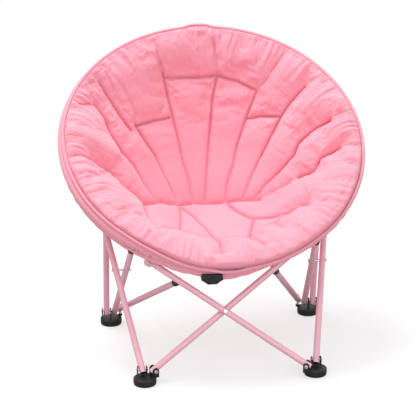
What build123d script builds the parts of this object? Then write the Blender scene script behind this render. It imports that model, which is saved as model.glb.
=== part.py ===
from build123d import *
from math import cos, radians, sin
import os

os.makedirs("parts", exist_ok=True)

# Folding saucer chair, in millimetres. +Z is up, the feet stand on z = 0, the front faces -Y.
# The origin is under the middle of the whole chair.

# ---- driving dimensions ----
foot_half_depth = 196.0  # middle of the feet to a front or rear foot centre
front_foot_outset = 16.25  # middle of a front foot, outside the crossed tube's place on the ring
rear_foot_x = 268.0
foot_radius = 28.5
sole_height = 4.0
foot_body_height = 13.0
sole_inset = 1.0
sole_chamfer = 0.8
foot_top_fillet = 2.5
foot_base_fillet = 0.8
ear_root_depth = 3.0  # how far the ears reach down into the foot
ear_thickness = 2.5
ear_width = 16.0
ear_clearance = 2.0  # between an ear and a tube that leans in its ears
head_clearance = 1.0  # between a rivet head and a leaning tube

tube_radius = 8.0
tube_wall = 1.2
tube_tail = 9.5  # tube past a pin
plug_depth = 2.0
plug_lip = 1.5
pin_radius = 3.0
pin_head_radius = 5.0
pin_head_height = 1.8
running_clearance = 0.05
side_clearance = 0.3

ring_radius = 382.0  # to the middle of the ring tube
ring_tube_radius = 9.5
ring_tube_wall = 1.5
ring_tilt = 35.0  # the rear of the ring stands higher
ring_offset = 146.0  # the ring's centre lies this far behind the middle of the feet
ring_centre_z = 510.0
ring_end_angle = 1.0  # the tube halves stop this far from the hinge plane
hinge_height = 14.0  # hinge pin above the ring plane
hinge_leaf_length = 30.0
hinge_leaf_height = 14.0
knuckle_radius = 5.0
knuckle_length = 7.0
leaf_fillet = 3.0
strap_root_depth = 2.0  # how far the hinge strap reaches down into the leaf
leaf_strap_share = 0.5  # of the leaf's length
leaf_bore_angle = 8.0
front_cover_start = 18.0  # cover under the front hinge, from the hinge plane to the left
front_cover_length = 50.0
front_cover_drop = 20.0  # its top, below the ring tube's middle
front_cover_forward = 13.0  # its front face, before the ring tube's middle
front_cover_depth = 22.0
front_cover_end_height = 15.0
front_cover_middle_height = 25.0
front_cover_middle_length = 22.0
front_cover_flare = 1.5
front_cover_round = 1.5
front_neck_length = 12.0
front_neck_depth = 14.0
front_neck_rise = 14.5  # up into the leaf, clear of the ring tube's bore

rear_angle = 180.0  # angles on the ring are counted from the front
front_bracket_angle = 31.0
saddle_angle = 37.0
pivot_angle = 118.5
saddle_wall = 3.0
saddle_length = 20.0
saddle_stem = 11.0
short_top_drop = 22.0  # ring plane to the short tube's top
socket_depth = 14.0
socket_wall = 2.0
socket_bore_past = 10.0  # the socket's bore, past its mouth
saddle_cup_rise = 2.0  # the cup's rims end this far below the tube's middle
pivot_drop = 24.0  # ring plane to the lug pin
frame_pin_drop = 48.0  # ring plane to the side frame's pin
swivel_width = 9.0
swivel_depth = 10.0
swivel_eye_radius = 10.0
swivel_top_drop = 2.0  # the block's top, below the eye's radius past the lug pin

front_pin_z = 31.0
front_side_pin_inset = -5.0  # long tube's pin, from the front foot centre towards the middle
front_side_pin_back = 18.0
cross_pin_inset = 24.0  # crossed tube's pin, from the front foot centre towards the middle
left_cross_pin_y = 11.0  # from the foot centre
right_cross_pin_y = -11.0
cross_pin_yaw = 17.5
cross_pin_lean = -5.5
cross_top_drop = 30.0  # crossed tube's top below the ring plane
left_tube_top_inset = 16.0  # along the ring plane, from the ring tube towards the rear
right_tube_top_inset = -8.0
tab_thickness = 3.0
tab_arm_radius = 3.0
tab_plate_extra = 6.0  # plate longer than it is wide
arm_seat_drop = 4.0  # the arm's foot on the saddle, from the ring tube's middle
arm_seat_forward = 12.0

rear_pin_z = 38.0
rear_pin_forward = 4.0
upright_foot_inset = -12.0
short_tube_foot_inset = 10.0
upright_top_share = 0.60  # up the long tube
tube_side_gap = 18.0  # between the middles of two tubes that cross on one pin
stay_foot_inset = 25.5
stay_foot_back = 12.0
stay_foot_z = 36.0
stay_stud_reach = 13.0  # from the leaning stay's middle to the stud's heads
boss_wall = 2.5
stay_reach = 0.80  # up the crossed tube
hook_length = 12.0
hook_wall = 2.0
hook_seat_gap = 2.0  # tube's end to the hook's cup
bore_run = 60.0  # cutters that run right through
bore_span = 5.0  # angle each side of a fitting that its bore covers

sleeve_clearance = 0.3
sleeve_wall = 3.2
sleeve_gap_half_angle = 38.0
sleeve_start_angle = 4.8
piping_radius = 5.6
piping_offset = 12.4

seat_pole_forward = 40.0
seat_bottom_drop = 238.0
seat_pole_thickness = 34.0
seat_edge_round = 12.0
seat_edge_level = -4.0  # middle of the rounded edge, from the ring plane
seat_edge_top_turn = 80.0  # how far the edge's arc goes round above and below its middle
seat_edge_foot_turn = 85.0
seat_mid_share = 0.55
crown_mid_drop = 108.0
valley_mid_drop = 125.0
under_mid_drop = 148.0
gores_per_half = 9
seat_pole_radius = 1.0
soft_clearance = 0.3
shell_thickness = 2.0

# ---- places worked out from them ----
tilt = radians(ring_tilt)
sleeve_inner = ring_tube_radius + sleeve_clearance
sleeve_outer = sleeve_inner + sleeve_wall
hinge_leaf_half_width = sleeve_outer  # the leaf's sides run on into the sleeve's
seat_edge_radius = ring_radius - sleeve_outer - soft_clearance
front_foot_x = ring_radius * sin(radians(front_bracket_angle)) + front_foot_outset
front_reach = foot_half_depth + foot_radius
rear_corner = (ring_radius + hinge_leaf_half_width) * cos(tilt) + hinge_leaf_height * sin(tilt)
rear_reach = ring_offset + rear_corner
base_centre_y = (front_reach - rear_reach) / 2  # middle of the four feet
ring_centre_y = base_centre_y + ring_offset
ring_centre = Vector(0, ring_centre_y, ring_centre_z)
across = Vector(1, 0, 0)
rearward = Vector(0, cos(tilt), sin(tilt))  # along the ring plane, towards the rear
normal = Vector(0, -sin(tilt), cos(tilt))  # out of the ring plane, upwards
foot_top = sole_height + foot_body_height
sides = {"left": -1, "right": 1}


def ring_point(angle, rise, side, radius=ring_radius):
    """Point at an angle from the front of the ring, raised out of its plane."""
    a = radians(angle)
    return ring_centre + across * (side * radius * sin(a)) - rearward * (radius * cos(a)) + normal * rise


def ring_tangent(angle, side):
    a = radians(angle)
    return across * (side * cos(a)) + rearward * sin(a)


def ring_frame(angle, side, rise=0.0):
    """Plane across the ring tube: x points outwards, y out of the ring plane, upwards."""
    a = radians(angle)
    outward = across * (side * sin(a)) - rearward * cos(a)
    along = ring_tangent(angle, side) * -side
    return Plane(origin=ring_point(angle, rise, side), x_dir=outward, z_dir=along)


def ring_arc(start, end, side, radius=ring_radius, rise=0.0):
    middle = (start + end) / 2
    ends = [ring_point(a, rise, side, radius) for a in (start, middle, end)]
    return ThreePointArc(*ends)


def foot_places(side):
    front = Vector(side * front_foot_x, base_centre_y - foot_half_depth, 0)
    rear = Vector(side * rear_foot_x, base_centre_y + foot_half_depth, 0)
    return {"front": front, "rear": rear}


def side_line(side):
    """Named points of one side frame."""
    feet = foot_places(side)
    inward = -side
    points = {}
    long_pin = Vector(inward * front_side_pin_inset, front_side_pin_back, front_pin_z)
    points["long_foot"] = feet["front"] + long_pin
    points["frame_pin"] = ring_point(pivot_angle, -frame_pin_drop, side)
    points["long_top"] = points["frame_pin"] + Vector(
        side * (swivel_width / 2 + tube_radius + ear_clearance), 0, 0
    )
    points["upright_foot"] = feet["rear"] + Vector(inward * upright_foot_inset, -rear_pin_forward, rear_pin_z)
    points["short_foot"] = feet["rear"] + Vector(inward * short_tube_foot_inset, -rear_pin_forward, rear_pin_z)
    along = points["long_foot"] + (points["long_top"] - points["long_foot"]) * upright_top_share
    points["upright_top"] = along + Vector(inward * tube_side_gap, 0, 0)
    points["short_top"] = ring_point(saddle_angle, -short_top_drop, side)
    points["stay_foot"] = feet["rear"] + Vector(inward * stay_foot_inset, stay_foot_back, stay_foot_z)
    return points


def cross_tube_line(side):
    """Foot pin and top of the crossed tube that starts at this side's front foot."""
    front = foot_places(side)["front"]
    pin_y = left_cross_pin_y if side < 0 else right_cross_pin_y
    inset = left_tube_top_inset if side < 0 else right_tube_top_inset
    foot = front + Vector(-side * cross_pin_inset, pin_y, front_pin_z)
    top = ring_point(front_bracket_angle, -cross_top_drop, -side) + rearward * inset
    return foot, top


def unit(vector):
    return vector.normalized()


def cross_pin_axis(side):
    """Axis of a crossed tube's foot pin: it leans so that the tube's top follows the folding ring."""
    yaw, lean = radians(cross_pin_yaw), radians(cross_pin_lean)
    return Vector(sin(yaw) * cos(lean), side * cos(yaw) * cos(lean), -side * sin(lean))


def turned_round(centre, axis, radius, length):
    """Cylinder about an axis, its middle on the centre."""
    axis = unit(axis)
    with BuildPart(mode=Mode.PRIVATE) as piece:
        with BuildSketch(Plane(origin=centre - axis * (length / 2), z_dir=axis)):
            Circle(radius)
        extrude(amount=length)
    return piece.part


def tube_between(start, end, bores=()):
    """Steel tube with cross holes for its pins."""
    with BuildPart() as piece:
        with BuildSketch(Plane(origin=start, z_dir=unit(end - start))):
            Circle(tube_radius)
            Circle(tube_radius - tube_wall, mode=Mode.SUBTRACT)
        extrude(amount=(end - start).length)
        for centre, axis in bores:
            add(turned_round(centre, axis, pin_radius + running_clearance, 4 * tube_radius), mode=Mode.SUBTRACT)
    return piece


def plug_at(end, outward):
    """Plastic plug in a tube's mouth, with a thin lip over its edge."""
    outward = unit(outward)
    with BuildPart(mode=Mode.PRIVATE) as piece:
        with BuildSketch(Plane(origin=end - outward * plug_depth, z_dir=outward)):
            Circle(tube_radius - tube_wall)
        extrude(amount=plug_depth)
        with BuildSketch(Plane(origin=end, z_dir=outward)):
            Circle(tube_radius)
        extrude(amount=plug_lip)
    return piece.part


def rivet(start, end):
    """Pin with a round head on each end; start and end are the undersides of the heads."""
    axis = unit(end - start)
    with BuildPart(mode=Mode.PRIVATE) as piece:
        with BuildSketch(Plane(origin=start, z_dir=axis)):
            Circle(pin_radius)
        extrude(amount=(end - start).length)
        for seat, way in ((start, axis * -1), (end, axis)):
            with BuildSketch(Plane(origin=seat, z_dir=way)):
                Circle(pin_head_radius)
            extrude(amount=pin_head_height, taper=25)
    return piece.part


def keep(piece, name):
    piece.part.label = name
    export_step(piece.part, f"parts/{name}.step")


def ear_pair(pin, axis, half_gap, floor):
    """Two upright plates that carry a pin, standing on the foot."""
    flat = unit(Vector(axis.X, axis.Y, 0))
    sideways = Vector(0, 0, 1).cross(flat)
    with BuildPart(mode=Mode.PRIVATE) as piece:
        for way in (-1, 1):
            origin = Vector(pin.X, pin.Y, pin.Z) + flat * (way * half_gap)
            with BuildSketch(Plane(origin=origin, x_dir=sideways, z_dir=flat * way)):
                Circle(ear_width / 2)
                with Locations((0, way * -(pin.Z - floor) / 2)):
                    Rectangle(ear_width, pin.Z - floor)
            extrude(amount=ear_thickness)
        add(turned_round(pin, axis, pin_radius + running_clearance, bore_run), mode=Mode.SUBTRACT)
    return piece.part


# ---- feet: a round plastic body with ears for the tube pins, on a thin sole ----
ear_gap = tube_radius + ear_clearance
head_gap = tube_radius + head_clearance
for side_name, side in sides.items():
    line = side_line(side)
    cross_foot, cross_top = cross_tube_line(side)
    cross_axis = cross_pin_axis(side)
    for end_name, centre in foot_places(side).items():
        with BuildPart() as sole:
            with BuildSketch():
                with Locations((centre.X, centre.Y)):
                    Circle(foot_radius - sole_inset)
            extrude(amount=sole_height)
            chamfer(sole.faces().sort_by(Axis.Z)[0].edges(), length=sole_chamfer)
        keep(sole, f"{side_name}_{end_name}_sole")

        with BuildPart() as body:
            with BuildSketch(Plane.XY.offset(sole_height)):
                with Locations((centre.X, centre.Y)):
                    Circle(foot_radius)
            extrude(amount=foot_body_height)
            fillet(body.faces().sort_by(Axis.Z)[-1].edges(), radius=foot_top_fillet)
            fillet(body.faces().sort_by(Axis.Z)[0].edges(), radius=foot_base_fillet)
            if end_name == "front":
                add(ear_pair(line["long_foot"], across, ear_gap, foot_top - ear_root_depth))
                add(ear_pair(cross_foot, cross_axis, ear_gap, foot_top - ear_root_depth))
            else:
                add(ear_pair(line["upright_foot"], across, ear_gap, foot_top - ear_root_depth))
                stud = line["stay_foot"]
                with BuildSketch(Plane.XY.offset(foot_top - 1)):
                    with Locations((stud.X, stud.Y)):
                        Circle(pin_radius + boss_wall)
                extrude(amount=stud.Z - stay_stud_reach - pin_head_height - foot_top + 1)
        keep(body, f"{side_name}_{end_name}_foot")

# ---- side frames: the long tube, the short tube, the upright and what pins them ----
for side_name, side in sides.items():
    line = side_line(side)
    inward = -side
    long_way = unit(line["long_top"] - line["long_foot"])
    short_way = unit(line["short_top"] - line["short_foot"])
    upright_way = unit(line["upright_top"] - line["upright_foot"])

    # the side bolt goes through where the long and short tubes cross, seen from the side
    run, rise = line["long_top"] - line["long_foot"], line["short_top"] - line["short_foot"]
    offset = line["short_foot"] - line["long_foot"]
    cross_share = (offset.Y * rise.Z - offset.Z * rise.Y) / (run.Y * rise.Z - run.Z * rise.Y)
    bolt_long = line["long_foot"] + run * cross_share
    short_share = (bolt_long.Y - line["short_foot"].Y) / rise.Y
    bolt_short = line["short_foot"] + rise * short_share
    upright_long = line["upright_top"] + across * (side * tube_side_gap)

    long_start = line["long_foot"] - long_way * tube_tail
    long_end = line["long_top"] + long_way * tube_tail
    long_tube = tube_between(
        long_start,
        long_end,
        [(line["long_foot"], across), (line["long_top"], across), (bolt_long, across), (upright_long, across)],
    )
    keep(long_tube, f"{side_name}_long_tube")

    short_start = line["short_foot"] - short_way * tube_tail
    short_end = line["short_top"]
    short_tube = tube_between(short_start, short_end, [(line["short_foot"], across), (bolt_short, across)])
    keep(short_tube, f"{side_name}_short_tube")

    upright_start = line["upright_foot"] - upright_way * tube_tail
    upright_end = line["upright_top"] + upright_way * tube_tail
    upright = tube_between(
        upright_start, upright_end, [(line["upright_foot"], across), (line["upright_top"], across)]
    )
    keep(upright, f"{side_name}_upright")

    with BuildPart() as plugs:
        for end, way in (
            (long_start, long_way * -1),
            (long_end, long_way),
            (short_start, short_way * -1),
            (upright_start, upright_way * -1),
            (upright_end, upright_way),
        ):
            add(plug_at(end, way))
    keep(plugs, f"{side_name}_frame_plugs")

    # pins of the side frame, all along the side-to-side axis
    with BuildPart() as pins:
        reach = ear_gap + ear_thickness
        foot_pin, upright_pin = line["long_foot"], line["upright_foot"]
        short_pin = line["short_foot"]
        add(rivet(foot_pin - across * reach, foot_pin + across * reach))
        add(
            rivet(
                upright_pin + across * (side * reach),
                Vector(short_pin.X - side * (tube_radius + head_clearance / 2), upright_pin.Y, upright_pin.Z),
            )
        )
        for outer, inner in ((bolt_long, bolt_short), (upright_long, line["upright_top"])):
            add(rivet(outer + across * (side * head_gap), inner - across * (side * head_gap)))
        pin = line["frame_pin"]
        add(
            rivet(
                line["long_top"] + across * (side * head_gap),
                pin - across * (side * (swivel_width / 2 + side_clearance)),
            )
        )
    keep(pins, f"{side_name}_frame_pins")

    # black clip on the short tube, cupped under the ring tube
    clip_plane = ring_frame(saddle_angle, side)
    cup_radius = ring_tube_radius + soft_clearance
    with BuildPart() as clip:
        with BuildSketch(clip_plane):
            Circle(cup_radius + saddle_wall)
            with Locations((0, 2 * cup_radius - saddle_cup_rise)):
                Rectangle(4 * cup_radius, 4 * cup_radius, mode=Mode.SUBTRACT)
            Circle(cup_radius, mode=Mode.SUBTRACT)
        extrude(amount=saddle_length / 2, both=True)
        with BuildSketch(Plane(origin=short_end - short_way * socket_depth, z_dir=short_way)):
            Circle(tube_radius + socket_wall)
        extrude(amount=socket_depth + saddle_stem)
        bore_middle = short_end - short_way * ((socket_depth + socket_bore_past) / 2)
        socket_radius = tube_radius + running_clearance
        socket_bore = turned_round(bore_middle, short_way, socket_radius, socket_depth + socket_bore_past)
        add(socket_bore, mode=Mode.SUBTRACT)
        ring_tube_way = ring_tangent(saddle_angle, side)
        ring_tube_middle = ring_point(saddle_angle, 0, side)
        add(turned_round(ring_tube_middle, ring_tube_way, cup_radius, 4 * saddle_length), mode=Mode.SUBTRACT)
    keep(clip, f"{side_name}_saddle_clip")

# ---- crossed front tubes ----
crossed = {}
for side_name, side in sides.items():
    foot, top = cross_tube_line(side)
    crossed[side_name] = (foot, top, unit(top - foot), cross_pin_axis(side))
left_foot, left_top, left_way, left_axis = crossed["left"]
right_foot, right_top, right_way, right_axis = crossed["right"]

# closest points of the two middle lines, where the centre bolt sits
foot_offset = right_foot - left_foot
both_ways = left_way.cross(right_way)
left_share = foot_offset.cross(right_way).dot(both_ways) / both_ways.length**2
right_share = foot_offset.cross(left_way).dot(both_ways) / both_ways.length**2
left_cross = left_foot + left_way * left_share
right_cross = right_foot + right_way * right_share
bolt_way = unit(right_cross - left_cross)  # from the left foot's tube towards the front

for side_name, side in sides.items():
    foot, top, way, axis = crossed[side_name]
    bolted = left_cross if side_name == "left" else right_cross
    tube = tube_between(foot - way * tube_tail, top, [(foot, axis), (bolted, bolt_way)])
    keep(tube, f"{side_name}_cross_tube")

    with BuildPart() as plugs:
        add(plug_at(foot - way * tube_tail, way * -1))
        add(plug_at(top, way))
    keep(plugs, f"{side_name}_cross_plugs")

    with BuildPart() as pin:
        reach = ear_gap + ear_thickness + head_clearance
        add(rivet(foot - axis * reach, foot + axis * reach))
    keep(pin, f"{side_name}_cross_pin")

# the centre bolt is fast in the tube behind, and its head stands just clear of the one in front
with BuildPart() as centre_bolt:
    with BuildSketch(Plane(origin=left_cross - bolt_way * head_gap, z_dir=bolt_way)):
        Circle(pin_radius)
    extrude(amount=head_gap + (right_cross - left_cross).length - tube_radius - side_clearance)
    with BuildSketch(Plane(origin=left_cross - bolt_way * head_gap, z_dir=bolt_way * -1)):
        Circle(pin_head_radius)
    extrude(amount=pin_head_height, taper=25)
keep(centre_bolt, "centre_bolt")

with BuildPart() as bolt_head:
    seat = right_cross + bolt_way * head_gap
    with BuildSketch(Plane(origin=seat, z_dir=bolt_way)):
        Circle(pin_head_radius)
    extrude(amount=pin_head_height, taper=25)
    with BuildSketch(Plane(origin=right_cross + bolt_way * (tube_radius - tube_wall), z_dir=bolt_way)):
        Circle(pin_radius)
    extrude(amount=tube_wall + head_clearance)
keep(bolt_head, "centre_bolt_head")

# ---- rear stays: from a stud on the rear foot to a cupped hook behind the upper crossed tube ----
for side_name, side in sides.items():
    other = "left" if side_name == "right" else "right"
    stay_foot = side_line(side)["stay_foot"]
    cross_foot, cross_top, cross_way, _ = crossed[other]
    reach_point = cross_foot + (cross_top - cross_foot) * stay_reach
    stay_way = unit(reach_point - stay_foot)
    stay_end = reach_point - stay_way * (tube_radius + hook_wall + hook_seat_gap)
    up = Vector(0, 0, 1)
    stay = tube_between(stay_foot - stay_way * tube_tail, stay_end, [(stay_foot, up)])
    keep(stay, f"{side_name}_stay")

    with BuildPart() as hook:
        with BuildSketch(Plane(origin=stay_end - stay_way * hook_length, z_dir=stay_way)):
            Circle(tube_radius + hook_wall)
        extrude(amount=hook_length + hook_wall + tube_radius)
        mouth = stay_end - stay_way * hook_length
        add(turned_round(mouth, stay_way, tube_radius + running_clearance, 2 * hook_length), mode=Mode.SUBTRACT)
        add(turned_round(reach_point, cross_way, tube_radius + soft_clearance, bore_run), mode=Mode.SUBTRACT)
    keep(hook, f"{side_name}_stay_hook")

    with BuildPart() as stud:
        add(rivet(stay_foot - up * stay_stud_reach, stay_foot + up * stay_stud_reach))
    keep(stud, f"{side_name}_stay_stud")

# ---- ring: two bent tubes that meet at hinges in front and behind ----
ring_ends = {"front": -1, "rear": 1}  # along the ring plane, towards the rear


def ring_box(x_span, s_span, n_span):
    """Block along the side-to-side axis, the ring plane and its normal, measured from the ring centre."""
    with BuildPart(mode=Mode.PRIVATE) as piece:
        middle = ring_centre + across * (sum(x_span) / 2) + rearward * (sum(s_span) / 2) + normal * n_span[0]
        with BuildSketch(Plane(origin=middle, x_dir=across, z_dir=normal)):
            Rectangle(x_span[1] - x_span[0], s_span[1] - s_span[0])
        extrude(amount=n_span[1] - n_span[0])
    return piece.part


def ring_tube_solid(start, end, side, outer, inner=0.0):
    """Round bar or tube bent along the ring."""
    with BuildPart(mode=Mode.PRIVATE) as piece:
        with BuildLine() as path:
            ring_arc(start, end, side)
        with BuildSketch(ring_frame(start, side)):
            Circle(outer)
            if inner:
                Circle(inner, mode=Mode.SUBTRACT)
        sweep()
    return piece.part


def front_cover():
    """Cover under the front hinge: a bar that is deeper in the middle, on a neck below the left leaf."""
    tube_middle = ring_point(0, 0, -1)
    top = tube_middle.Z - front_cover_drop
    middle_x = -(front_cover_start + front_cover_length / 2)
    half, deep = front_cover_length / 2, front_cover_middle_length / 2
    foot = half - front_cover_flare * 2
    right_side = [
        (half, 0),
        (half + front_cover_flare, front_cover_end_height),
        (foot, front_cover_end_height + front_cover_flare),
        (deep, front_cover_middle_height),
    ]
    left_side = [(-x, y) for x, y in reversed(right_side)]
    with BuildPart(mode=Mode.PRIVATE) as piece:
        front_face = Vector(middle_x, tube_middle.Y - front_cover_forward, top)
        with BuildSketch(Plane(origin=front_face, x_dir=across, z_dir=Vector(0, 1, 0))):
            Polygon(*right_side, *left_side, align=None)
        extrude(amount=front_cover_depth)
        fillet(piece.edges().filter_by(Axis.Y), radius=front_cover_round)
        neck_x = -(front_cover_start + front_cover_round + front_neck_length / 2)
        with BuildSketch(Plane.XY.offset(top - front_cover_round)):
            with Locations((neck_x, tube_middle.Y)):
                Rectangle(front_neck_length, front_neck_depth)
        extrude(amount=front_neck_rise)
    return piece.part


knuckle_outer = 1.5 * knuckle_length + side_clearance
for side_name, side in sides.items():
    with BuildPart() as ring_tube:
        tube_bore = ring_tube_radius - ring_tube_wall
        add(ring_tube_solid(ring_end_angle, rear_angle - ring_end_angle, side, ring_tube_radius, tube_bore))
    keep(ring_tube, f"{side_name}_ring_tube")

    for place, outward in ring_ends.items():
        # leaf: a saddle under the tube's end with a strap over it that carries the knuckles
        middle_s = outward * ring_radius
        with BuildPart() as leaf:
            x_span = sorted((side * side_clearance, side * hinge_leaf_length))
            block_s = (middle_s - hinge_leaf_half_width, middle_s + hinge_leaf_half_width)
            add(ring_box(x_span, block_s, (-hinge_leaf_height, 0.0)))
            fillet(leaf.edges().filter_by(lambda e: abs(e.tangent_at(0).dot(normal)) > 0.9), radius=leaf_fillet)
            strap_span = sorted((side * side_clearance, side * (hinge_leaf_length * leaf_strap_share)))
            strap_s = (middle_s - knuckle_outer, middle_s + knuckle_outer)
            add(ring_box(strap_span, strap_s, (-strap_root_depth, hinge_height)))
            if place == "front" and side < 0:
                add(front_cover())
            # the left leaf has the two outer knuckles, the right leaf the middle one
            half_knuckle = knuckle_length / 2
            near, far = half_knuckle + side_clearance, knuckle_outer
            if side < 0:
                knuckle_spans, gap_spans = ((-far, -near), (near, far)), ((-near, near),)
            else:
                knuckle_spans = ((-half_knuckle, half_knuckle),)
                gap_spans = ((-far - 1, -half_knuckle), (half_knuckle, far + 1))
            room = knuckle_radius + side_clearance
            for low, high in gap_spans:
                cut_middle = ring_centre + rearward * (middle_s + (low + high) / 2) + normal * hinge_height
                add(turned_round(cut_middle, rearward, room, high - low), mode=Mode.SUBTRACT)
            for low, high in knuckle_spans:
                knuckle_s = middle_s + (low + high) / 2
                knuckle_middle = ring_centre + rearward * knuckle_s + normal * hinge_height
                add(turned_round(knuckle_middle, rearward, knuckle_radius, high - low))
            pin_middle = ring_centre + rearward * middle_s + normal * hinge_height
            add(turned_round(pin_middle, rearward, pin_radius + running_clearance, bore_run), mode=Mode.SUBTRACT)
            bore_start = 0.0 if place == "front" else rear_angle - leaf_bore_angle
            bore = ring_tube_solid(
                bore_start, bore_start + leaf_bore_angle, side, ring_tube_radius + running_clearance
            )
            add(bore, mode=Mode.SUBTRACT)
        keep(leaf, f"{side_name}_{place}_ring_leaf")

with BuildPart() as hinge_pins:
    for outward in ring_ends.values():
        pin_middle = ring_centre + rearward * (outward * ring_radius) + normal * hinge_height
        reach = knuckle_outer + side_clearance
        add(rivet(pin_middle - rearward * reach, pin_middle + rearward * reach))
keep(hinge_pins, "ring_hinge_pins")

# ---- fittings under the ring: a lug and swivel at each rear pivot, a tab at each crossed tube's top ----
for side_name, side in sides.items():
    lug_plane = ring_frame(pivot_angle, side)
    lug_pin = ring_point(pivot_angle, -pivot_drop, side)
    frame_pin = ring_point(pivot_angle, -frame_pin_drop, side)
    pad_radius = ring_tube_radius + running_clearance + saddle_wall
    gap = swivel_depth / 2 + side_clearance

    with BuildPart() as lug:
        with BuildSketch(lug_plane):
            Circle(pad_radius)
            with Locations((0, 2 * pad_radius - 1)):
                Rectangle(4 * pad_radius, 4 * pad_radius, mode=Mode.SUBTRACT)
        extrude(amount=saddle_length / 2, both=True)
        for way in (-1, 1):
            ear_foot = lug_pin + rearward * (way * gap)
            with BuildSketch(Plane(origin=ear_foot, x_dir=across, z_dir=rearward * way)):
                Circle(ear_width / 2)
                with Locations((0, -way * (pivot_drop - ring_tube_radius) / 2)):
                    Rectangle(ear_width, pivot_drop - ring_tube_radius)
            extrude(amount=ear_thickness)
        add(turned_round(lug_pin, rearward, pin_radius + running_clearance, bore_run), mode=Mode.SUBTRACT)
        add(
            ring_tube_solid(
                pivot_angle - bore_span, pivot_angle + bore_span, side, ring_tube_radius + running_clearance
            ),
            mode=Mode.SUBTRACT,
        )
    keep(lug, f"{side_name}_pivot_lug")

    with BuildPart() as lug_rivet:
        reach = gap + ear_thickness
        add(rivet(lug_pin - rearward * reach, lug_pin + rearward * reach))
    keep(lug_rivet, f"{side_name}_lug_pin")

    with BuildPart() as swivel:
        with BuildSketch(Plane(origin=frame_pin, x_dir=across, z_dir=normal)):
            Rectangle(swivel_width, swivel_depth)
        extrude(amount=frame_pin_drop - pivot_drop + swivel_eye_radius - swivel_top_drop)
        add(turned_round(frame_pin, across, swivel_eye_radius, swivel_width))
        add(turned_round(frame_pin, across, pin_radius + running_clearance, bore_run), mode=Mode.SUBTRACT)
        add(turned_round(lug_pin, rearward, pin_radius + running_clearance, bore_run), mode=Mode.SUBTRACT)
    keep(swivel, f"{side_name}_swivel")

    # tab of the crossed tube's top: a saddle and a plate that lies in front of the tube
    other = "left" if side_name == "right" else "right"
    cross_foot, cross_top, cross_way, _ = crossed[other]
    front_way = unit((rearward - cross_way * rearward.dot(cross_way)) * -1)
    with BuildPart() as tab:
        with BuildSketch(ring_frame(front_bracket_angle, side)):
            Circle(pad_radius)
            with Locations((0, 2 * pad_radius - 1)):
                Rectangle(4 * pad_radius, 4 * pad_radius, mode=Mode.SUBTRACT)
        extrude(amount=saddle_length / 2, both=True)
        plate_inner = cross_top - cross_way * (ear_width / 2) + front_way * (tube_radius + side_clearance)
        arm_start = ring_point(front_bracket_angle, -arm_seat_drop, side) - rearward * arm_seat_forward
        arm_end = plate_inner + front_way * tab_thickness + cross_way * (ear_width / 2 + 1)
        arm = arm_end - arm_start
        add(turned_round((arm_start + arm_end) / 2, arm, tab_arm_radius, arm.length))
        with BuildSketch(Plane(origin=plate_inner, x_dir=cross_way, z_dir=front_way)):
            SlotOverall(ear_width + tab_plate_extra, ear_width)
        extrude(amount=tab_thickness)
        rivet_bore = turned_round(plate_inner, front_way, pin_radius + running_clearance, tab_thickness * 4)
        add(rivet_bore, mode=Mode.SUBTRACT)
        add(
            ring_tube_solid(
                front_bracket_angle - bore_span,
                front_bracket_angle + bore_span,
                side,
                ring_tube_radius + running_clearance,
            ),
            mode=Mode.SUBTRACT,
        )
    keep(tab, f"{side_name}_cross_tab")

    with BuildPart() as tab_rivet:
        with BuildSketch(Plane(origin=plate_inner, z_dir=front_way)):
            Circle(pin_radius)
        extrude(amount=tab_thickness)
        with BuildSketch(Plane(origin=plate_inner + front_way * tab_thickness, z_dir=front_way)):
            Circle(pin_head_radius)
        extrude(amount=pin_head_height, taper=25)
    keep(tab_rivet, f"{side_name}_cross_tab_rivet")

# ---- seat: on each half a padded bowl with radial channels, its outer shell, and the sleeve on the ring ----
pole = ring_centre - rearward * seat_pole_forward
gore_angles = [rear_angle * i / (2 * gores_per_half) for i in range(2 * gores_per_half + 1)]


def bowl_loft(side, profile):
    """Closed solid through one section for each gore edge and gore middle, from the front to the rear."""
    with BuildPart() as piece:
        for i, angle in enumerate(gore_angles):
            rim = ring_point(angle, 0, side, seat_edge_radius)
            outward = unit(rim - pole)
            start = pole + across * (side * soft_clearance)
            section_plane = Plane(origin=start, x_dir=outward, z_dir=outward.cross(normal))
            with BuildSketch(section_plane):
                with BuildLine():
                    profile((rim - pole).length, i % 2 == 1)
                make_face()
        loft(ruled=True)
    return piece


def edge_point(length, turn):
    """Point on the pad's rounded edge, turned up from its outermost point."""
    a = radians(turn)
    return length - seat_edge_round * (1 - cos(a)), seat_edge_level + seat_edge_round * sin(a)


def pad_profile(length, is_crown):
    """Padding: the top swells between the channels, the outer edge is rounded and drawn in."""
    top_mid = crown_mid_drop if is_crown else valley_mid_drop
    pole_top = (seat_pole_radius, -(seat_bottom_drop - seat_pole_thickness))
    edge_top = edge_point(length, seat_edge_top_turn)
    edge_foot = edge_point(length, -seat_edge_foot_turn)
    pole_foot = (seat_pole_radius, -seat_bottom_drop)
    ThreePointArc(pole_top, (seat_mid_share * length, -top_mid), edge_top)
    ThreePointArc(edge_top, (length, seat_edge_level), edge_foot)
    ThreePointArc(edge_foot, (seat_mid_share * length, -under_mid_drop), pole_foot)
    Line(pole_foot, pole_top)


def shell_profile(length, is_crown):
    """Outer fabric: a thin skin just below the padding."""
    gap = soft_clearance + 0.2
    edge_x, edge_y = edge_point(length, -seat_edge_foot_turn)
    inner = [
        (edge_x, edge_y - gap),
        (seat_mid_share * length, -under_mid_drop - gap),
        (seat_pole_radius, -seat_bottom_drop - gap),
    ]
    outer = [
        (edge_x + shell_thickness, edge_y - gap - 1),
        (seat_mid_share * length, -under_mid_drop - gap - shell_thickness - 1),
        (seat_pole_radius, -seat_bottom_drop - gap - shell_thickness),
    ]
    ThreePointArc(*inner)
    Line(inner[2], outer[2])
    ThreePointArc(outer[2], outer[1], outer[0])
    Line(outer[0], inner[0])


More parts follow.
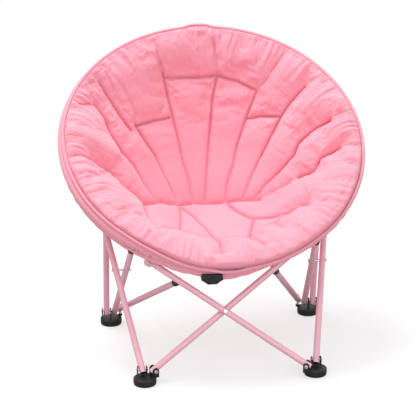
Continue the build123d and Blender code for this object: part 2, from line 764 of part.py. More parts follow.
for side_name, side in sides.items():
    pad = bowl_loft(side, pad_profile)
    keep(pad, f"{side_name}_seat_pad")
    shell = bowl_loft(side, shell_profile)
    keep(shell, f"{side_name}_seat_shell")

    # sleeve: fabric round the ring tube, open below for the fittings, with a piping round its outside
    gap_width = 2 * sleeve_outer * sin(radians(sleeve_gap_half_angle))
    with BuildPart() as sleeve:
        with BuildLine() as path:
            ring_arc(sleeve_start_angle, rear_angle - sleeve_start_angle, side)
        with BuildSketch(ring_frame(sleeve_start_angle, side)):
            Circle(sleeve_outer)
            with Locations((piping_offset, 1.0)):
                Circle(piping_radius)
            Circle(sleeve_inner, mode=Mode.SUBTRACT)
            with Locations((0, -sleeve_outer)):
                Rectangle(gap_width, 2 * sleeve_outer, mode=Mode.SUBTRACT)
        sweep()
        for angle in (front_bracket_angle, saddle_angle, pivot_angle):
            room = saddle_length / 2 + 1.0
            spot = ring_frame(angle, side)
            start = spot.origin - spot.z_dir * room
            with BuildSketch(Plane(origin=start, x_dir=spot.x_dir, z_dir=spot.z_dir)):
                with Locations((0, -2 * sleeve_outer + 0.5)):
                    Rectangle(6 * sleeve_outer, 4 * sleeve_outer)
            extrude(amount=2 * room, mode=Mode.SUBTRACT)
    keep(sleeve, f"{side_name}_rim_sleeve")
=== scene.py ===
from math import cos, pi, radians, sin

import bmesh
import bpy
import numpy as np
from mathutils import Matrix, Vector
from mathutils.kdtree import KDTree


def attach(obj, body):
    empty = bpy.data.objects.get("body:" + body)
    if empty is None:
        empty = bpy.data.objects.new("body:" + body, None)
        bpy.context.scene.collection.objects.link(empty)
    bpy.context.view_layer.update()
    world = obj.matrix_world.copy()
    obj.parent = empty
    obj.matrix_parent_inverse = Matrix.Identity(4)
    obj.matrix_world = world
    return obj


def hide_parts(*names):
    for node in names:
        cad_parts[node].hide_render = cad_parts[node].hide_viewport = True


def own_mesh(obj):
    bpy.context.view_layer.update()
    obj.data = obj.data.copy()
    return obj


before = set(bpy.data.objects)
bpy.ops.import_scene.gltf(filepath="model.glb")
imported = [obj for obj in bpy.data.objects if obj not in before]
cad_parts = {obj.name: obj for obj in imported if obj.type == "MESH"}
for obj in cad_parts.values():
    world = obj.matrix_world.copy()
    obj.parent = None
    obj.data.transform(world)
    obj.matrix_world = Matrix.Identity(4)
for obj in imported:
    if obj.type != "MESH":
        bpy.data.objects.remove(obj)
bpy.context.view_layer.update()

# ---- the view: the chair seen from in front, a little to one side and from above ----
# One long-lens camera. The chair stands on a plain white floor in a pale studio, under a
# wide lamp high behind it, with a low weak one in front and a small one at the left shoulder.
VIEW_TURN = radians(7.8)
VIEW_RISE = radians(18.8)
VIEW_DISTANCE = 4.0
VIEW_TARGET = Vector((0.0, -0.126547, 0.380))
PHOTO_SIDE = 416.0
FOCAL_PIXELS = 1590.0
PHOTO_SHIFT = 12.0
SENSOR_WIDTH = 36.0

back = Vector((-sin(VIEW_TURN) * cos(VIEW_RISE), -cos(VIEW_TURN) * cos(VIEW_RISE), sin(VIEW_RISE)))
camera_data = bpy.data.cameras.new("camera")
camera_data.sensor_width = SENSOR_WIDTH
camera_data.lens = FOCAL_PIXELS / PHOTO_SIDE * SENSOR_WIDTH
camera_data.shift_x = -PHOTO_SHIFT / PHOTO_SIDE
camera = bpy.data.objects.new("camera", camera_data)
camera.location = VIEW_TARGET + back * VIEW_DISTANCE
camera.rotation_euler = (-back).to_track_quat("-Z", "Y").to_euler()
bpy.context.scene.collection.objects.link(camera)
bpy.context.scene.camera = camera
bpy.context.scene.view_settings.view_transform = "Standard"


LAMPS = [  # name, place, width, watts
    ("key_lamp", (-1.2, -1.7, 3.0), 1.3, 6),
    ("fill_lamp", (0.7, -3.0, 1.2), 2.0, 19),
    ("top_lamp", (-0.65, 0.75, 3.2), 1.8, 74),
]
LAMP_TARGET = Vector((0.0, 0.0, 0.4))
for name, place, size, watts in LAMPS:
    data = bpy.data.lights.new(name, "AREA")
    data.shape = "DISK"
    data.size = size
    data.energy = watts
    lamp = bpy.data.objects.new(name, data)
    lamp.location = place
    aim = LAMP_TARGET - lamp.location
    lamp.rotation_euler = aim.to_track_quat("-Z", "Y").to_euler()
    bpy.context.scene.collection.objects.link(lamp)

AMBIENT = 0.66  # the studio's own light; the camera and reflections see it white
world = bpy.data.worlds.new("studio")
bpy.context.scene.world = world
world.use_nodes = True
sky = world.node_tree.nodes["Background"]
sky.inputs["Color"].default_value = (1, 1, 1, 1)
path = world.node_tree.nodes.new("ShaderNodeLightPath")
lit = world.node_tree.nodes.new("ShaderNodeMix")
lit.data_type = "FLOAT"
lit.inputs["A"].default_value = AMBIENT
lit.inputs["B"].default_value = 1.0
seen = world.node_tree.nodes.new("ShaderNodeMath")
seen.operation = "MAXIMUM"
world.node_tree.links.new(path.outputs["Is Camera Ray"], seen.inputs[0])
world.node_tree.links.new(path.outputs["Is Glossy Ray"], seen.inputs[1])
world.node_tree.links.new(seen.outputs[0], lit.inputs["Factor"])
world.node_tree.links.new(lit.outputs["Result"], sky.inputs["Strength"])

FLOOR_SIDE = 40.0
FLOOR_DROP = 0.0005
FLOOR_COLOUR = (0.47, 0.475, 0.475, 1)
FLOOR_GLOW = 0.58  # added for the camera alone, so that the floor looks white and keeps its shadow
WHITE_FROM, WHITE_BY = 0.8, 1.9  # it turns plain white between these distances
floor_mesh = bpy.data.meshes.new("floor")
half = FLOOR_SIDE / 2
floor_mesh.from_pydata(
    [(x, y, -FLOOR_DROP) for x, y in ((-half, -half), (half, -half), (half, half), (-half, half))],
    [],
    [(0, 1, 2, 3)],
)
floor = bpy.data.objects.new("floor", floor_mesh)
bpy.context.scene.collection.objects.link(floor)
floor_paint = bpy.data.materials.new("floor_paint")
floor_paint.use_nodes = True
tree = floor_paint.node_tree
tree.nodes.clear()
surface = tree.nodes.new("ShaderNodeOutputMaterial")
matt = tree.nodes.new("ShaderNodeBsdfDiffuse")
matt.inputs["Color"].default_value = FLOOR_COLOUR
glow = tree.nodes.new("ShaderNodeEmission")
ray = tree.nodes.new("ShaderNodeLightPath")
share = tree.nodes.new("ShaderNodeMath")
share.operation = "MULTIPLY"
share.inputs[1].default_value = FLOOR_GLOW
both = tree.nodes.new("ShaderNodeAddShader")
spot = tree.nodes.new("ShaderNodeTexCoord")
distance = tree.nodes.new("ShaderNodeVectorMath")
distance.operation = "LENGTH"
beyond = tree.nodes.new("ShaderNodeMapRange")
beyond.interpolation_type = "SMOOTHSTEP"
beyond.inputs["From Min"].default_value = WHITE_FROM
beyond.inputs["From Max"].default_value = WHITE_BY
white = tree.nodes.new("ShaderNodeEmission")
seen_far = tree.nodes.new("ShaderNodeMath")
seen_far.operation = "MULTIPLY"
blend_out = tree.nodes.new("ShaderNodeMixShader")
tree.links.new(spot.outputs["Object"], distance.inputs[0])
tree.links.new(distance.outputs["Value"], beyond.inputs["Value"])
tree.links.new(ray.outputs["Is Camera Ray"], seen_far.inputs[0])
tree.links.new(beyond.outputs["Result"], seen_far.inputs[1])
tree.links.new(seen_far.outputs[0], blend_out.inputs[0])
tree.links.new(ray.outputs["Is Camera Ray"], share.inputs[0])
tree.links.new(share.outputs[0], glow.inputs["Strength"])
tree.links.new(matt.outputs[0], both.inputs[0])
tree.links.new(glow.outputs[0], both.inputs[1])
tree.links.new(both.outputs[0], blend_out.inputs[1])
tree.links.new(white.outputs[0], blend_out.inputs[2])
tree.links.new(blend_out.outputs[0], surface.inputs["Surface"])
floor_mesh.materials.append(floor_paint)

# ---- side frames, crossed tubes, stays and ring: bent steel tube, sprayed pink ----
# Thin-walled round tube with a smooth gloss coat over it. The coat has a faint orange-peel
# ripple, and it is a little duller where hands and floors have rubbed it.


def node_group(name, inputs, outputs):
    """Empty shader group with named float or colour sockets."""
    group = bpy.data.node_groups.new(name, "ShaderNodeTree")
    for label, kind, value in inputs:
        socket = group.interface.new_socket(label, in_out="INPUT", socket_type=kind)
        socket.default_value = value
    for label, kind in outputs:
        group.interface.new_socket(label, in_out="OUTPUT", socket_type=kind)
    return group, group.nodes.new("NodeGroupInput"), group.nodes.new("NodeGroupOutput")


def math_node(tree, operation, *values):
    node = tree.nodes.new("ShaderNodeMath")
    node.operation = operation
    for i, value in enumerate(values):
        if isinstance(value, (int, float)):
            node.inputs[i].default_value = value
        else:
            tree.links.new(value, node.inputs[i])
    return node.outputs[0]


uneven, uneven_in, uneven_out = node_group(
    "uneven_finish",
    [
        ("Colour", "NodeSocketColor", (1, 1, 1, 1)),
        ("Dark Colour", "NodeSocketColor", (1, 1, 1, 1)),
        ("Blotch Scale", "NodeSocketFloat", 9.0),
        ("Grain Scale", "NodeSocketFloat", 900.0),
        ("Roughness", "NodeSocketFloat", 0.4),
        ("Roughness Spread", "NodeSocketFloat", 0.1),
    ],
    [("Colour", "NodeSocketColor"), ("Roughness", "NodeSocketFloat"), ("Height", "NodeSocketFloat")],
)
places = uneven.nodes.new("ShaderNodeTexCoord")
blotch = uneven.nodes.new("ShaderNodeTexNoise")
blotch.inputs["Detail"].default_value = 4.0
grain = uneven.nodes.new("ShaderNodeTexNoise")
grain.inputs["Detail"].default_value = 2.0
uneven.links.new(places.outputs["Object"], blotch.inputs["Vector"])
uneven.links.new(places.outputs["Object"], grain.inputs["Vector"])
uneven.links.new(uneven_in.outputs["Blotch Scale"], blotch.inputs["Scale"])
uneven.links.new(uneven_in.outputs["Grain Scale"], grain.inputs["Scale"])
tint = uneven.nodes.new("ShaderNodeMix")
tint.data_type = "RGBA"
uneven.links.new(uneven_in.outputs["Colour"], tint.inputs["A"])
uneven.links.new(uneven_in.outputs["Dark Colour"], tint.inputs["B"])
ramp = uneven.nodes.new("ShaderNodeMapRange")
ramp.inputs["From Min"].default_value = 0.40
ramp.inputs["From Max"].default_value = 0.75
uneven.links.new(blotch.outputs["Fac"], ramp.inputs["Value"])
uneven.links.new(ramp.outputs["Result"], tint.inputs["Factor"])
spread = math_node(uneven, "MULTIPLY", blotch.outputs["Fac"], uneven_in.outputs["Roughness Spread"])
rough = math_node(uneven, "ADD", uneven_in.outputs["Roughness"], spread)
uneven.links.new(tint.outputs["Result"], uneven_out.inputs["Colour"])
uneven.links.new(rough, uneven_out.inputs["Roughness"])
uneven.links.new(grain.outputs["Fac"], uneven_out.inputs["Height"])


def finish(name, values, metallic=0.0, bump=0.1, distance=0.0002, **sockets):
    """Principled material over the uneven finish; plain numbers go on the shader itself."""
    material = bpy.data.materials.new(name)
    material.use_nodes = True
    tree = material.node_tree
    shader = tree.nodes["Principled BSDF"]
    shader.inputs["Metallic"].default_value = metallic
    for label, value in sockets.items():
        shader.inputs[label.replace("_", " ")].default_value = value
    group = tree.nodes.new("ShaderNodeGroup")
    group.node_tree = uneven
    for label, value in values.items():
        group.inputs[label].default_value = value
    relief = tree.nodes.new("ShaderNodeBump")
    relief.inputs["Strength"].default_value = bump
    relief.inputs["Distance"].default_value = distance
    tree.links.new(group.outputs["Colour"], shader.inputs["Base Color"])
    tree.links.new(group.outputs["Roughness"], shader.inputs["Roughness"])
    tree.links.new(group.outputs["Height"], relief.inputs["Height"])
    tree.links.new(relief.outputs["Normal"], shader.inputs["Normal"])
    return material


pink_coat = finish(
    "pink_coat",
    {
        "Colour": (0.985, 0.520, 0.615, 1),
        "Dark Colour": (0.970, 0.480, 0.575, 1),
        "Blotch Scale": 14.0,
        "Grain Scale": 260.0,
        "Roughness": 0.20,
        "Roughness Spread": 0.14,
    },
    bump=0.06,
    Coat_Weight=0.35,
    Coat_Roughness=0.12,
)
TUBES = ["long_tube", "short_tube", "upright", "cross_tube", "stay", "ring_tube", "cross_tab"]

# ---- feet, clips, caps and hinge covers: moulded black plastic ----
# Injection-moulded parts with the fine even grain of a spark-eroded mould, and a dusting
# of lighter scuffs where they meet the floor.
black_mould = finish(
    "black_mould",
    {
        "Colour": (0.014, 0.012, 0.013, 1),
        "Dark Colour": (0.028, 0.025, 0.026, 1),
        "Blotch Scale": 40.0,
        "Grain Scale": 1500.0,
        "Roughness": 0.38,
        "Roughness Spread": 0.20,
    },
    bump=0.35,
    distance=0.0001,
    Specular_IOR_Level=0.35,
)
MOULDED = [
    "front_foot",
    "front_sole",
    "rear_foot",
    "rear_sole",
    "frame_plugs",
    "cross_plugs",
    "saddle_clip",
    "front_ring_leaf",
    "rear_ring_leaf",
    "pivot_lug",
    "swivel",
    "stay_hook",
]

# ---- rivets, pins and studs: plated steel ----
# Turned steel pins with domed heads, bright but not mirror smooth.
plated = finish(
    "plated",
    {
        "Colour": (0.72, 0.72, 0.73, 1),
        "Dark Colour": (0.58, 0.57, 0.56, 1),
        "Blotch Scale": 120.0,
        "Grain Scale": 2200.0,
        "Roughness": 0.24,
        "Roughness Spread": 0.16,
    },
    metallic=1.0,
    bump=0.15,
    distance=0.00005,
)
PLATED = ["frame_pins", "cross_pin", "stay_stud", "lug_pin", "cross_tab_rivet"]

for side in ("left", "right"):
    for names, material in ((TUBES, pink_coat), (MOULDED, black_mould), (PLATED, plated)):
        for name in names:
            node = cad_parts[f"{side}_{name}"]
            node.data.materials.clear()
            node.data.materials.append(material)
for name in ("centre_bolt", "centre_bolt_head", "ring_hinge_pins"):
    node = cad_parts[name]
    node.data.materials.clear()
    node.data.materials.append(plated)

# ---- seat cushion: one round bowl of stuffed polyester cloth, sewn into channels ----
# The channels fan out from the low middle, short seams tie them across near the rim, and a
# seam runs across between back and seat. Each half rides on its half of the ring.
RING_RADIUS = 0.382
RING_TILT = radians(35.0)
RING_CENTRE = Vector((0.0, 0.019453, 0.510))
RING_REAR = Vector((0.0, cos(RING_TILT), sin(RING_TILT)))
RING_UP = Vector((0.0, -sin(RING_TILT), cos(RING_TILT)))
# the bowl of the top skin: its lowest point stands forward of the middle, and a second depth
# at a share of the way from there to the rim sets its roundness
POLE_FORWARD = 0.040
POLE_DEPTH = 0.216
MIDDLE_DEPTH = 0.134
MIDDLE_SHARE = 0.55
# the outer cover below, closed to a flatter bowl
UNDER_POLE = 0.240
UNDER_MIDDLE = 0.151
UNDER_RADIUS = 0.3675
UNDER_LEVEL = -0.013
UNDER_RINGS = 36
UNDER_SAG = 0.004
SLEEVE_RADIUS = 0.0145  # cloth sleeve on the ring tube
SKIN_RADIUS = 0.3800  # the top skin ends beside the corded edge
SKIN_LEVEL = 0.0140
# where the corded edge runs on the sleeve: angle from the front, and turn from outwards to up
EDGE_ANGLES = [-180, -120, -75, -40, -28, -18, -10, 0, 12, 20, 36, 50, 60, 80, 120, 180]
EDGE_TURNS = [80, 85, 97, 95, 72, 36, 8, 2, 4, 15, 38, 48, 60, 70, 80, 80]
EDGE_START = 0.290  # from here outwards the skin is led to the edge
EDGE_LEAD = radians(10)  # the skin ends this far round the sleeve past the corded edge
SKIN_GAP = 0.0012  # and keeps this far outside the sleeve
UNDER_SKIN_GAP = 0.0002
HUMP_HEIGHT = 0.0215  # the cloth is lifted over the two ring hinges: a rounded box, this high
HUMP_HALF = 0.0180
COVER_HALF = 0.0160  # half width of the sleeve there, under the cushion's edge
HUMP_REACH = 0.034
HUMP_ROOM = 0.0030  # the skin's box is this much larger than the sleeve's
SKIN_CELLS = 240  # cells across the skin before it is subdivided
PANEL_CROWN = 0.009  # how far the cloth stands over its seams, in the middle of the back
LOBE_CROWN = 0.038  # in the lobes at the front and the sides
REAR_CROWN = 0.017  # and in the lobes along the top of the back
PANEL_SPAN = 0.026  # width of the rounding beside a seam, in the panels and in the lobes
LOBE_SPAN = 0.050
LOBE_START, LOBE_END = 0.14, 0.30  # distance from the bowl's lowest point at which lobes begin and are full
REAR_START, REAR_RUN = -0.02, 0.24
RIM_SPAN = 0.046  # width of the rounding at the rim, and how much it varies
RIM_SPAN_SPREAD = 0.22
RIM_CROWN_LEFT = 0.08  # share of the crown that is left at the very rim
FOLD_LIFT = 0.007  # a soft fold is this much shallower than a seam
SEAM_GROOVE = 0.0026
SEAM_GROOVE_WIDTH = 0.0032
LUMP_HEIGHT = 0.006
LUMP_WIDTH = 0.075
SEAM_SNAP = 0.38  # grid places within this share of a cell are moved onto the seam
# pleats that run in from the rim: width and length, height, how far in they fade, seed
PLEATS = [(0.0170, 0.11, 0.0100, 0.070, 5), (0.0085, 0.06, 0.0042, 0.034, 6)]
PLEAT_POWER = 0.75
PLEAT_MEAN = 0.45
# folds across a seam or a soft fold: width and length, height, how far away they fade, seed
LOBE_FOLDS = (0.013, 0.045, 0.0030, 0.024, 8)
SEAM_FOLDS = (0.010, 0.030, 0.0009, 0.014, 9)
SOFT_FOLDS = (0.014, 0.050, 0.0030, 0.030, 10)
CLOTH_FRAMES = 14
CLOTH_GROWTH = 0.05
CLOTH_PRESSURE = 5.0
SWELL_CAP = 0.012  # the most that the simulation may move a place
PANEL_SWELL = 0.04  # share of that movement in the panels; the lobes take all of it
# painted shade in the cloth's colour: how dark it is at a seam, a soft fold, a pleat, the rim and the foot
# of the back, and how wide
SEAM_SHADE, SEAM_SHADE_WIDTH = 0.72, 0.0038
FOLD_SHADE, FOLD_SHADE_WIDTH = 0.35, 0.005
PLEAT_SHADE, PLEAT_SHADE_WIDTH, PLEAT_SHADE_REACH = 0.5, 0.16, 0.035
RIM_SHADE, RIM_SHADE_WIDTH = 0.3, 0.0020
SEAT_SHADE, SEAT_SHADE_WIDTH = 0.70, 0.070

# sewn seams on the cushion, in millimetres on the ring plane: to the right, and to the rear
CUSHION_SEAMS = [
    [(-102, 288), (-92, 242), (-83, 206), (-70, 147), (-58, 79), (-46, 23), (-41, -40)],
    [(49, 285), (33, 230), (24, 173), (14, 111), (2, 35), (-9, -42)],
    [(153, 232), (121, 174), (94, 116), (76, 59), (58, 16), (46, -44)],
    [(275, 196), (238, 176), (212, 150), (179, 104), (143, 53), (113, 2), (92, -50)],
    [(329, 74), (285, 72), (250, 56), (234, 27), (195, 2), (156, -20), (120, -58)],
    [(340, -28), (297, -26), (276, -54), (239, -51)],
    [(240, -180), (202, -184), (155, -161), (109, -131)],
    [(-279, 220), (-251, 188), (-226, 155), (-202, 132)],
    [(-188, 150), (-162, 116), (-136, 84), (-112, 31), (-94, -15), (-86, -55)],
    [(-294, 160), (-271, 133), (-257, 96), (-232, 61), (-201, 36), (-176, -4), (-142, -62)],
    [(-324, -27), (-276, -31), (-256, -48), (-236, -66), (-204, -72), (-181, -89)],
    [(-97, 278), (-39, 282), (45, 284)],
    [(49, 284), (104, 263), (153, 232)],
    [(121, 172), (163, 168), (212, 150)],
    [(-188, 147), (-135, 174), (-88, 188)],
    [(-181, -89), (-132, -59), (-82, -57), (-41, -43), (14, -43), (46, -46), (83, -49), (134, -68)],
    [(-181, -89), (-179, -125), (-177, -161), (-169, -208)],
    [(-79, -61), (-82, -108), (-92, -171)],
    [(-77, -64), (-47, -94), (-21, -146), (-2, -211), (3, -237), (-8, -300)],
    [(51, -54), (72, -91), (108, -136), (91, -193), (79, -241), (79, -293)],
]
SEAT_SEAM = 15  # the seam between back and seat
# soft folds that run on from the seams towards the rim, and the valley behind the front roll
CUSHION_FOLDS = [
    [(-119, 345), (-115, 317), (-102, 288)],
    [(42, 350), (48, 318), (49, 285)],
    [(235, 291), (204, 267), (179, 245), (153, 232)],
    [(321, 200), (275, 196)],
    [(372, 71), (329, 74)],
    [(376, -50), (340, -28)],
    [(-310, 206), (-279, 220)],
    [(-226, 234), (-203, 203), (-188, 177), (-188, 150)],
    [(-362, 120), (-294, 160)],
    [(-378, -52), (-324, -27)],
    [(-8, -300), (-12, -345)],
    [(79, -293), (96, -335)],
    [(157, -210), (162, -281)],
    [(-169, -208), (-174, -262)],
    [(-169, -208), (-92, -171), (-2, -211), (79, -238), (157, -210), (240, -180)],
    [(134, -68), (190, -60), (239, -51)],
]


def bowl_height(x, s, radius, depth, middle, level):
    """Height of a bowl over the ring plane: in each direction from the pole, a parabola to the rim."""
    dx, ds = x, s + POLE_FORWARD
    reach = np.maximum(np.hypot(dx, ds), 1e-9)
    ux, us = dx / reach, ds / reach
    along = -POLE_FORWARD * us
    length = -along + np.sqrt(np.maximum(along**2 - POLE_FORWARD**2 + radius**2, 1e-12))
    share = reach / length
    curve = np.polyfit([0.0, MIDDLE_SHARE, 1.0], [-depth, -middle, level], 2)
    return np.polyval(curve, np.clip(share, 0, 1)), share


def near_seam(points, seams):
    """For each point: distance to the nearest seam, the place on it, and how far along it that is."""
    gap, along = np.full(len(points), 1.0), np.zeros(len(points))
    place = points.copy()
    for number, seam in enumerate(seams):
        line = np.array(seam, float) / 1000.0
        run = 0.37 * number
        for a, b in zip(line[:-1], line[1:]):
            d = b - a
            length = np.hypot(*d)
            t = np.clip(((points - a) @ d) / length**2, 0.0, 1.0)
            foot = a + t[:, None] * d
            away = np.hypot(*(points - foot).T)
            closer = away < gap
            gap[closer], place[closer] = away[closer], foot[closer]
            along[closer] = (run + t * length)[closer]
            run += length
    return gap, place, along


def ripple(u, wave, seed):
    """Uneven ripple along a line: a few sines whose lengths and starts come from a fixed seed."""
    chance = np.random.default_rng(seed)
    total = np.zeros_like(u)
    for _ in range(5):
        total += np.sin(2 * pi * u / (wave * chance.uniform(0.6, 1.7)) + chance.uniform(0, 2 * pi))
    return total / 5


def drift(u, v, seed):
    """Smooth noise from -1 to 1 on a lattice of fixed chance values, one unit apart."""
    chance = np.random.default_rng(seed).uniform(-1, 1, (64, 64))
    u0, v0 = np.floor(u).astype(int), np.floor(v).astype(int)
    fu, fv = u - u0, v - v0
    fu, fv = fu * fu * (3 - 2 * fu), fv * fv * (3 - 2 * fv)
    a, b = chance[u0 % 64, v0 % 64], chance[(u0 + 1) % 64, v0 % 64]
    c, d = chance[u0 % 64, (v0 + 1) % 64], chance[(u0 + 1) % 64, (v0 + 1) % 64]
    return (a * (1 - fu) + b * fu) * (1 - fv) + (c * (1 - fu) + d * fu) * fv


def to_world(x, s, n):
    """Ring-plane places to the row frame."""
    return (
        np.outer(x, np.array((1.0, 0.0, 0.0)))
        + np.outer(s, np.array(RING_REAR))
        + np.outer(n, np.array(RING_UP))
        + np.array(RING_CENTRE)
    )


def hinge_hump(x):
    """How fully the cloth is lifted, from one over the two ring hinges to nothing beside them."""
    return np.exp(-((x / HUMP_REACH) ** 4))


def edge_place(turns, lead=0.0, radius=SLEEVE_RADIUS):
    """Out and up from the ring tube's middle to the corded edge, at angles from the front."""
    angle = np.degrees(turns)
    turn = np.radians(np.interp(angle, EDGE_ANGLES, EDGE_TURNS)) + lead
    return radius * np.cos(turn), radius * np.sin(turn)


cloth = bpy.data.materials.new("pink_cloth")
cloth.use_nodes = True
tree = cloth.node_tree
shader = tree.nodes["Principled BSDF"]
shader.inputs["Sheen Weight"].default_value = 0.45
shader.inputs["Sheen Roughness"].default_value = 0.5
shader.inputs["Specular IOR Level"].default_value = 0.25
place = tree.nodes.new("ShaderNodeTexCoord")
base = tree.nodes.new("ShaderNodeGroup")
base.node_tree = uneven
base.inputs["Colour"].default_value = (0.945, 0.370, 0.460, 1)
base.inputs["Dark Colour"].default_value = (0.925, 0.335, 0.425, 1)
base.inputs["Blotch Scale"].default_value = 7.0
base.inputs["Grain Scale"].default_value = 55.0
base.inputs["Roughness"].default_value = 0.70
base.inputs["Roughness Spread"].default_value = 0.12
WEAVE_SCALE = 420.0
weave = 0.0
for direction in "XYZ":
    yarn = tree.nodes.new("ShaderNodeTexWave")
    yarn.bands_direction = direction
    yarn.inputs["Scale"].default_value = WEAVE_SCALE
    yarn.inputs["Distortion"].default_value = 0.6
    yarn.inputs["Detail"].default_value = 1.0
    tree.links.new(place.outputs["Object"], yarn.inputs["Vector"])
    weave = math_node(tree, "ADD", weave, yarn.outputs["Fac"])
fine = tree.nodes.new("ShaderNodeBump")
fine.inputs["Strength"].default_value = 0.25
fine.inputs["Distance"].default_value = 0.00012
crinkle = tree.nodes.new("ShaderNodeBump")
crinkle.inputs["Strength"].default_value = 0.18
crinkle.inputs["Distance"].default_value = 0.0030
tree.links.new(weave, fine.inputs["Height"])
tree.links.new(base.outputs["Height"], crinkle.inputs["Height"])
tree.links.new(crinkle.outputs["Normal"], fine.inputs["Normal"])
tree.links.new(fine.outputs["Normal"], shader.inputs["Normal"])
# painted shade: the cloth's colour is mixed towards a deep dark pink by the skin's shade attribute, so that
# seams, soft folds, pleat valleys, the rim and the foot of the back look shaded
painted_crease_shade = tree.nodes.new("ShaderNodeAttribute")
painted_crease_shade.attribute_name = "painted_crease_shade"
shaded_colour_mix = tree.nodes.new("ShaderNodeMix")
shaded_colour_mix.data_type = "RGBA"
shaded_colour_mix.inputs["B"].default_value = (0.66, 0.130, 0.200, 1)
PAINTED_SHADE_STRENGTH = 0.85
tree.links.new(math_node(tree, "MULTIPLY", painted_crease_shade.outputs["Fac"], PAINTED_SHADE_STRENGTH), shaded_colour_mix.inputs["Factor"])
tree.links.new(base.outputs["Colour"], shaded_colour_mix.inputs["A"])
tree.links.new(shaded_colour_mix.outputs["Result"], shader.inputs["Base Color"])
tree.links.new(base.outputs["Roughness"], shader.inputs["Roughness"])

# the flat skin: a square grid drawn out to a disc, its nearest places moved onto the seams
steps = np.linspace(-1.0, 1.0, SKIN_CELLS + 1)
gx, gy = np.meshgrid(steps, steps)
disc = np.stack([gx * np.sqrt(1 - gy**2 / 2), gy * np.sqrt(1 - gx**2 / 2)], -1).reshape(-1, 2)
disc *= SKIN_RADIUS
cell = 2 * SKIN_RADIUS / SKIN_CELLS
gap, place_on_seam, _ = near_seam(disc, CUSHION_SEAMS)
on_seam = (gap < SEAM_SNAP * cell) & (np.hypot(*disc.T) < SKIN_RADIUS - 0.02)
disc[on_seam] = place_on_seam[on_seam]
gap, _, along = near_seam(disc, CUSHION_SEAMS)
fold_gap, _, fold_along = near_seam(disc, CUSHION_FOLDS)
x, s = disc.T
level, _ = bowl_height(x, s, SKIN_RADIUS, POLE_DEPTH, MIDDLE_DEPTH, SKIN_LEVEL)
to_rim = SKIN_RADIUS - np.hypot(x, s)
turn_of = np.arctan2(x, -s)

# outward direction of the plain bowl, from its slope
delta = 0.001


def bowl_slope(dx, ds):
    ahead = bowl_height(x + dx, s + ds, SKIN_RADIUS, POLE_DEPTH, MIDDLE_DEPTH, SKIN_LEVEL)[0]
    behind = bowl_height(x - dx, s - ds, SKIN_RADIUS, POLE_DEPTH, MIDDLE_DEPTH, SKIN_LEVEL)[0]
    return (ahead - behind) / (2 * delta)


fade = np.clip(to_rim / 0.05, 0, 1)
out_way = np.stack([-bowl_slope(delta, 0) * fade, -bowl_slope(0, delta) * fade, np.ones_like(x)], 1)
out_way /= np.linalg.norm(out_way, axis=1)[:, None]
seated = np.stack([x, s, level], 1)

# stuffing: flat-topped near the middle of the back, full in the lobes round the rim
from_middle = np.hypot(x, s + POLE_FORWARD)
lobe = np.clip((from_middle - LOBE_START) / (LOBE_END - LOBE_START), 0, 1)
lobe = lobe * lobe * (3 - 2 * lobe)
rear_share = np.clip((s - REAR_START) / REAR_RUN, 0, 1)
rear_share = rear_share * rear_share * (3 - 2 * rear_share)
lobe_crown = LOBE_CROWN + (REAR_CROWN - LOBE_CROWN) * rear_share
crown = PANEL_CROWN + (lobe_crown - PANEL_CROWN) * lobe
span = PANEL_SPAN + (LOBE_SPAN - PANEL_SPAN) * lobe


def cushioned(distance, width):
    """Round profile that starts steeply at a seam and is level one width away."""
    return np.sqrt(1 - (1 - np.clip(distance / width, 0, 1)) ** 2)


stuffed = cushioned(np.minimum(gap, fold_gap + FOLD_LIFT), span)
rim_width = RIM_SPAN * (1 + RIM_SPAN_SPREAD * drift(turn_of * 4.5 + 40, 0 * turn_of + 0.5, 31))
stuffed = stuffed * (RIM_CROWN_LEFT + (1 - RIM_CROWN_LEFT) * cushioned(to_rim, rim_width))
puff = crown * stuffed
puff -= SEAM_GROOVE * np.exp(-gap / SEAM_GROOVE_WIDTH)
lumps = LUMP_HEIGHT * lobe * drift(x / LUMP_WIDTH + 9, s / LUMP_WIDTH + 9, 3)
puff += lumps * np.clip(gap / 0.03, 0, 1) * np.clip(to_rim / 0.03, 0, 1)
raised = seated + out_way * puff[:, None]

# folds in the cloth: fine ones across each seam, longer ones that run in from the rim
rim_run = np.arctan2(x, -s) * SKIN_RADIUS + 0.006 * drift(x / 0.03, s / 0.03, 17)
pleats = []
folds = np.zeros_like(x)
for width, length, height, fading, seed in PLEATS:
    pleats.append(np.abs(drift(rim_run / width + 90, to_rim / length, seed)) ** PLEAT_POWER)
    folds += height * (pleats[-1] - PLEAT_MEAN) * np.exp(-to_rim / fading)


def across(lengthwise, away, width, length, height, fading, seed):
    """Folds that cross a seam and fade away from it."""
    return height * drift(lengthwise / width, away / length, seed) * np.exp(-away / fading)


folds += across(along, gap, *LOBE_FOLDS) * lobe
folds += across(along, gap, *SEAM_FOLDS)
folds += across(fold_along, fold_gap, *SOFT_FOLDS)
folds *= np.clip(np.minimum(gap, fold_gap + 0.004) / 0.004, 0, 1) * np.clip(to_rim / 0.008, 0.0, 1)

row = SKIN_CELLS + 1


def grid_faces(cells):
    side = cells + 1
    return [
        (r * side + c, r * side + c + 1, (r + 1) * side + c + 1, (r + 1) * side + c)
        for r in range(cells)
        for c in range(cells)
    ]


